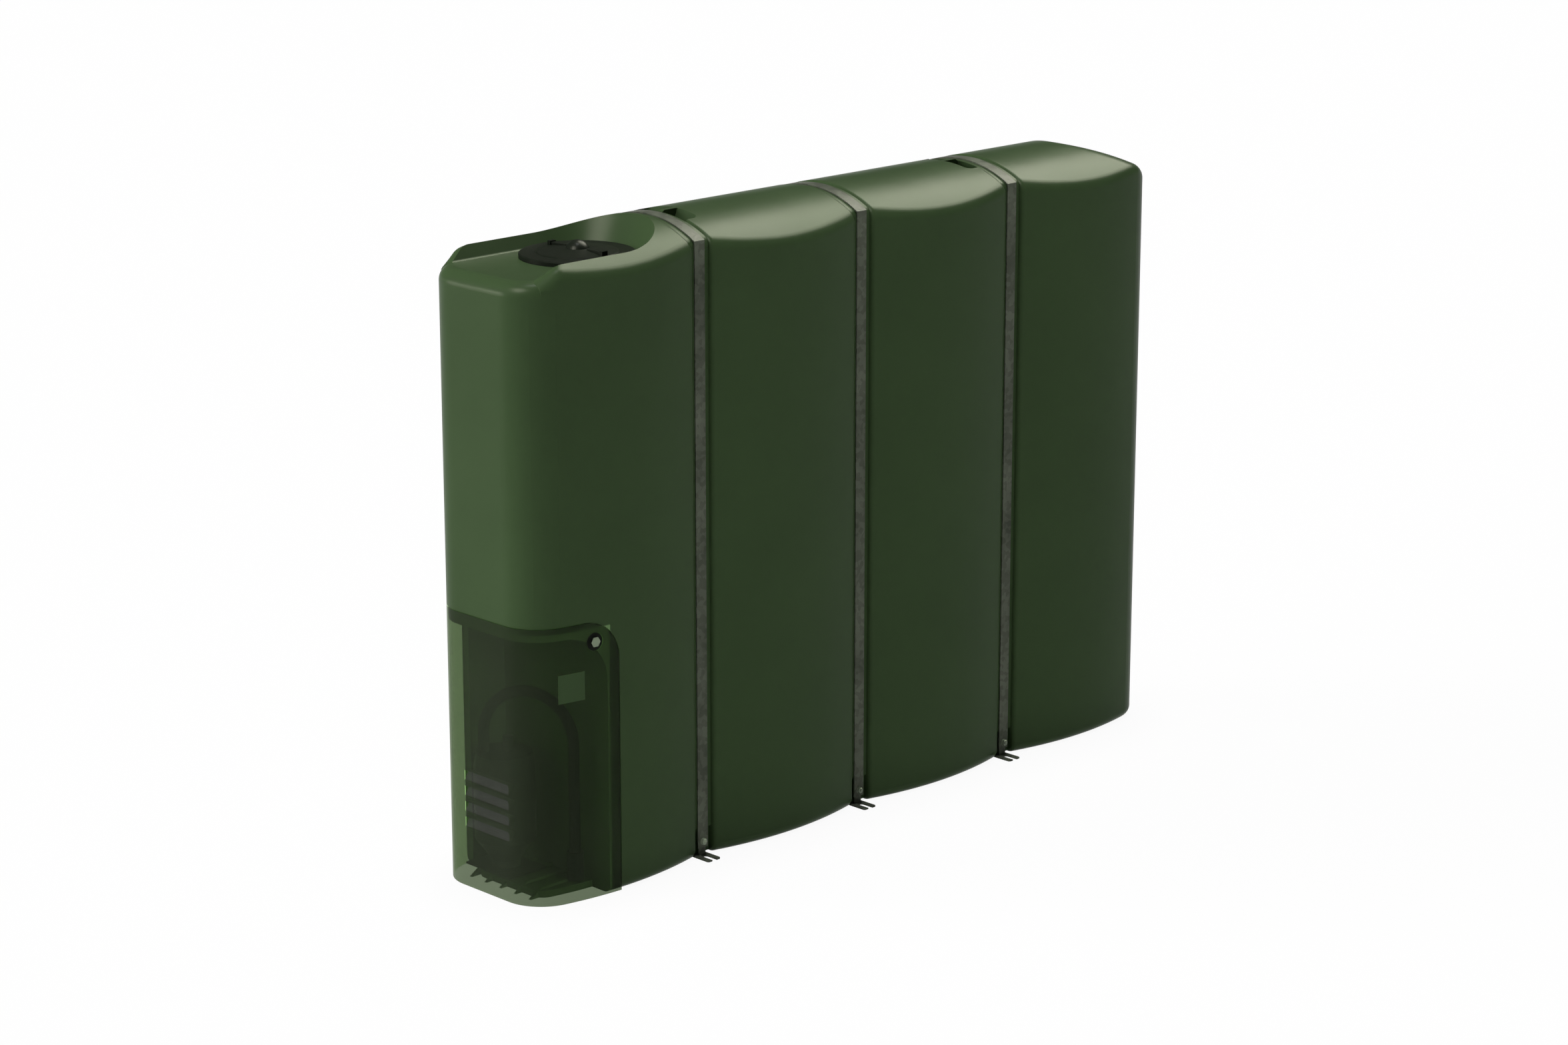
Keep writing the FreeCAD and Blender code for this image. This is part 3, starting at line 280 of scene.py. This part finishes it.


# Finishes: a tank roughness under 0.28 leaves small dark specks on the bays in denoised renders
tank_plastic = moulded_plastic("tank_plastic", TANK_GREEN, roughness=(0.28, 0.34))
lid_plastic = moulded_plastic("lid_plastic", LID_GREEN, roughness=(0.34, 0.42), gloss=LID_GLOSS)
dome_plastic = moulded_plastic("dome_plastic", LID_GREEN, roughness=(0.30, 0.36), gloss=DOME_GLOSS)
# The knob's finish paints light on its hexagon and shade on its flange
knob_finish = knob_painted_light_and_shade("knob_painted_light_and_shade", KNOB_GREY_AND_PAINTED_LIGHT, FLANGE_PAINTED_SHADE, roughness=(0.34, 0.44))
strap_steel = coated_steel("strap_steel", STRAP_GREY, roughness=(0.30, 0.42))
bolt_steel = coated_steel("bolt_steel", ZINC, roughness=(0.30, 0.45), metallic=0.3)
# The cover's finish carries the painted light on its louvre blades
cover_plastic = tinted_plastic("cover_plastic", COVER_GREEN, COVER_TINT, LOUVRE_GREY_PAINTED_LIGHT, roughness=(0.30, 0.40))
label_film = moulded_plastic("label_film", LABEL_GREEN, roughness=(0.30, 0.36), stipple=LABEL_STIPPLE)
pump_paint = moulded_plastic("pump_paint", PUMP_GREY, roughness=(0.30, 0.42))
hose_rubber = moulded_plastic("hose_rubber", HOSE_BLACK, roughness=(0.5, 0.6))

FINISH = {
    "access_lid": lid_plastic,
    "lid_vent_dome": dome_plastic,
    "pump_cover": cover_plastic,
    "cover_knob": knob_finish,
    "pump_base": pump_paint,
    "pump_body": pump_paint,
    "pump_cap": pump_paint,
    "outlet_fitting": pump_paint,
    "pump_hose": hose_rubber,
}
for name, piece in nodes.items():
    finish = FINISH.get(name, strap_steel if name.startswith("strap") else tank_plastic)
    piece.data.materials.clear()
    piece.data.materials.append(finish)

# The smoked cover lets light through to the pump
nodes["pump_cover"].visible_shadow = False


def new_piece(name, shape, material):
    """A piece that rides with the tank, made from a filled bmesh."""
    bmesh.ops.recalc_face_normals(shape, faces=shape.faces)
    mesh = bpy.data.meshes.new(name)
    shape.to_mesh(mesh)
    shape.free()
    mesh.materials.append(material)
    piece = bpy.data.objects.new(name, mesh)
    bpy.context.scene.collection.objects.link(piece)
    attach(piece, "root")


# Bolts through the straps into the feet
BOLT_HEIGHT = 0.044
WASHER_RADIUS = 0.0105
WASHER_THICKNESS = 0.002
WASHER_BEVEL = WASHER_THICKNESS / 4
NUT_ACROSS = 0.017
NUT_HEIGHT = 0.0075
NUT_CHAMFER = NUT_HEIGHT / 6
NUT_SIDES = 6
THREAD_RADIUS = 0.0048
THREAD_ROOT = THREAD_RADIUS * 0.88
THREAD_END = THREAD_RADIUS * 0.7
THREAD_REACH = 0.0035
THREAD_TURNS = 4
THREAD_PITCH = THREAD_REACH / (THREAD_TURNS + 1)
ROUND_STEPS = 32


def ring_solid(shape, profile, steps, turn):
    """A solid of revolution about Z from (radius, height) pairs, as rings of points."""
    rings = []
    for radius, height in profile:
        ring = []
        for step in range(steps):
            angle = 2 * math.pi * step / steps
            point = Vector((radius * math.cos(angle), radius * math.sin(angle), height))
            ring.append(shape.verts.new(turn @ point))
        rings.append(ring)
    for low, high in zip(rings, rings[1:]):
        for step in range(steps):
            after = (step + 1) % steps
            shape.faces.new((low[step], low[after], high[after], high[step]))
    shape.faces.new(list(reversed(rings[0])))
    shape.faces.new(rings[-1])


def bolt(place, outward):
    """A washer, a chamfered hexagon nut and the end of the bolt."""
    shape = bmesh.new()
    turn = Matrix.Translation(place) @ outward.to_track_quat("Z", "Y").to_matrix().to_4x4()
    washer = (
        (WASHER_RADIUS, 0),
        (WASHER_RADIUS, WASHER_THICKNESS - WASHER_BEVEL),
        (WASHER_RADIUS - WASHER_BEVEL, WASHER_THICKNESS),
    )
    ring_solid(shape, washer, ROUND_STEPS, turn)
    corner = NUT_ACROSS / math.sqrt(3)
    top = WASHER_THICKNESS + NUT_HEIGHT
    nut = ((corner, WASHER_THICKNESS), (corner, top - NUT_CHAMFER), (NUT_ACROSS / 2, top))
    ring_solid(shape, nut, NUT_SIDES, turn)
    thread = [(THREAD_RADIUS, top - NUT_HEIGHT / 2)]
    for number in range(THREAD_TURNS):
        height = top + number * THREAD_PITCH
        thread.append((THREAD_RADIUS, height))
        thread.append((THREAD_ROOT, height + THREAD_PITCH / 2))
    thread.append((THREAD_END, top + THREAD_REACH))
    ring_solid(shape, thread, ROUND_STEPS, turn)
    return shape


for number in (1, 2, 3):
    low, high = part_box(f"strap_{number}")
    middle = (low.x + high.x) / 2
    for side, depth, outward in (("front", low.y, -1), ("back", high.y, 1)):
        shape = bolt(Vector((middle, depth, BOLT_HEIGHT)), Vector((0, outward, 0)))
        new_piece(f"strap_bolt_{side}_{number}", shape, bolt_steel)

# Bare label plate on the front of the pump cover: its middle and size along X and Z
LABEL_MIDDLE = (-1.1596, 0.6314)
LABEL_SIZE = (0.0834, 0.082)
LABEL_THICKNESS = 0.0006
LABEL_LIFT = LABEL_THICKNESS / 4
LABEL_STEPS = 12


def label(cover):
    """A thin plate that follows the cover's bulge."""
    shape = bmesh.new()
    left, low = (middle - size / 2 for middle, size in zip(LABEL_MIDDLE, LABEL_SIZE))
    layers = []
    for lift in (LABEL_LIFT, LABEL_LIFT + LABEL_THICKNESS):
        rows = []
        for across in range(LABEL_STEPS + 1):
            row = []
            for up in range(LABEL_STEPS + 1):
                x = left + across * LABEL_SIZE[0] / LABEL_STEPS
                z = low + up * LABEL_SIZE[1] / LABEL_STEPS
                _, spot, normal, _ = cover.ray_cast(Vector((x, -1, z)), Vector((0, 1, 0)))
                row.append(shape.verts.new(spot + normal * lift))
            rows.append(row)
        layers.append(rows)
    for rows in layers:
        for across in range(LABEL_STEPS):
            for up in range(LABEL_STEPS):
                near, far = rows[across], rows[across + 1]
                shape.faces.new((near[up], far[up], far[up + 1], near[up + 1]))
    edge = [(n, 0) for n in range(LABEL_STEPS)] + [(LABEL_STEPS, n) for n in range(LABEL_STEPS)]
    edge += [(LABEL_STEPS - n, LABEL_STEPS) for n in range(LABEL_STEPS)]
    edge += [(0, LABEL_STEPS - n) for n in range(LABEL_STEPS)]
    under, over = layers
    for (a, b), (c, d) in zip(edge, edge[1:] + edge[:1]):
        shape.faces.new((under[a][b], under[c][d], over[c][d], over[a][b]))
    return shape


new_piece("label_plate", label(nodes["pump_cover"]), label_film)

# Floor
FLOOR_HALF = 60
FLOOR_DROP = 0.0005
FLOOR_PALE = 0.95
FLOOR_GLOW = 0.94


def floor_plane():
    mesh = bpy.data.meshes.new("floor")
    signs = ((-1, -1), (1, -1), (1, 1), (-1, 1))
    corners = [(x * FLOOR_HALF, y * FLOOR_HALF, -FLOOR_DROP) for x, y in signs]
    mesh.from_pydata(corners, [], [(0, 1, 2, 3)])
    mesh.materials.append(white_floor("floor_white", FLOOR_PALE, FLOOR_GLOW))
    floor = bpy.data.objects.new("floor", mesh)
    bpy.context.scene.collection.objects.link(floor)


# Sky: the soft light all round, and how high its white band reaches where it is seen and where it is mirrored
AMBIENT = 0.04
SEEN_TOP = 0.150
MIRRORED_TOP = 0.030
WHITE_FADE = 0.020


def sky():
    """A low white backdrop for the camera, mirrors and clear surfaces, and a plain soft light elsewhere."""
    world = bpy.data.worlds.new("studio")
    bpy.context.scene.world = world
    tree = Tree(world, "OutputWorld", "Generated")
    height = tree.add("SeparateXYZ", Vector=tree.place).outputs["Z"]
    top = tree.ranged(tree.add("LightPath").outputs["Is Glossy Ray"], SEEN_TOP, MIRRORED_TOP)
    above = tree.join("Math", height, top, operation="SUBTRACT")["Value"]
    low = tree.ranged(above, 1.0, 0.0, stop=WHITE_FADE)
    white = tree.join("Math", white_seen(tree), low, operation="MULTIPLY")["Value"]
    light = tree.add("Background", Color=WHITE, Strength=tree.ranged(white, AMBIENT, 1.0))
    tree.finish(light.outputs["Background"])


def soft_sun(name, towards, spread, strength):
    """A far, broad lamp in the given direction, so that each bay is lit alike."""
    lamp = bpy.data.lights.new(name, "SUN")
    lamp.angle = math.radians(spread)
    lamp.energy = strength
    holder = bpy.data.objects.new(name, lamp)
    holder.rotation_euler = Vector(towards).to_track_quat("Z", "Y").to_euler()
    bpy.context.scene.collection.objects.link(holder)
    return holder


def matt_sun(name, towards, spread, strength):
    """A lamp that adds no highlights."""
    holder = soft_sun(name, towards, spread, strength)
    holder.visible_glossy = False


def shine(name, towards, spread, strength):
    """A warm lamp that adds highlights alone."""
    holder = soft_sun(name, towards, spread, strength)
    holder.data.color = SHINE_WARM
    holder.visible_diffuse = False


def chamber_sun(name, towards, spread, strength):
    """The light that the smoked cover scatters onto the pump and the walls behind it."""
    holder = soft_sun(name, towards, spread, strength)
    behind = bpy.data.collections.new("behind_cover")
    for node, piece in nodes.items():
        if node.startswith(("recess", "pump_", "outlet")) and node != "pump_cover":
            behind.objects.link(piece)
    holder.light_linking.receiver_collection = behind


# Camera, at the photograph's viewing angle: angles in degrees, lens and sensor in millimetres
CAMERA_PLACE = (-7.743, -7.802, 3.840)
CAMERA_YAW = 44.34
CAMERA_PITCH = 15.28
CAMERA_LENS = 87.7
CAMERA_SENSOR = 36
CAMERA_REACH = 200


def photo_camera():
    camera = bpy.data.cameras.new("camera")
    camera.lens = CAMERA_LENS
    camera.sensor_width = CAMERA_SENSOR
    camera.clip_end = CAMERA_REACH
    holder = bpy.data.objects.new("camera", camera)
    holder.location = CAMERA_PLACE
    holder.rotation_euler = (math.radians(90 - CAMERA_PITCH), 0, math.radians(-CAMERA_YAW))
    bpy.context.scene.collection.objects.link(holder)
    bpy.context.scene.camera = holder


floor_plane()
sky()
soft_sun("top_light", towards=(0.02, 0.02, 1.0), spread=12, strength=2.1)
matt_sun("end_light", towards=(-0.70, 0.62, 0.30), spread=36, strength=1.6)
soft_sun("end_fill", towards=(-0.95, 0.08, 0.30), spread=30, strength=0.5)
shine("roof_shine", towards=(0.66, 0.08, 0.75), spread=40, strength=8.0)
shine("edge_shine", towards=(-0.72, 0.68, 0.02), spread=16, strength=3.4)
shine("corner_shine", towards=(-0.70, -0.05, 0.72), spread=28, strength=9.0)
chamber_sun("chamber_light", towards=(-0.08, -0.93, 0.36), spread=40, strength=4.0)
photo_camera()
bpy.context.scene.view_settings.view_transform = "Standard"
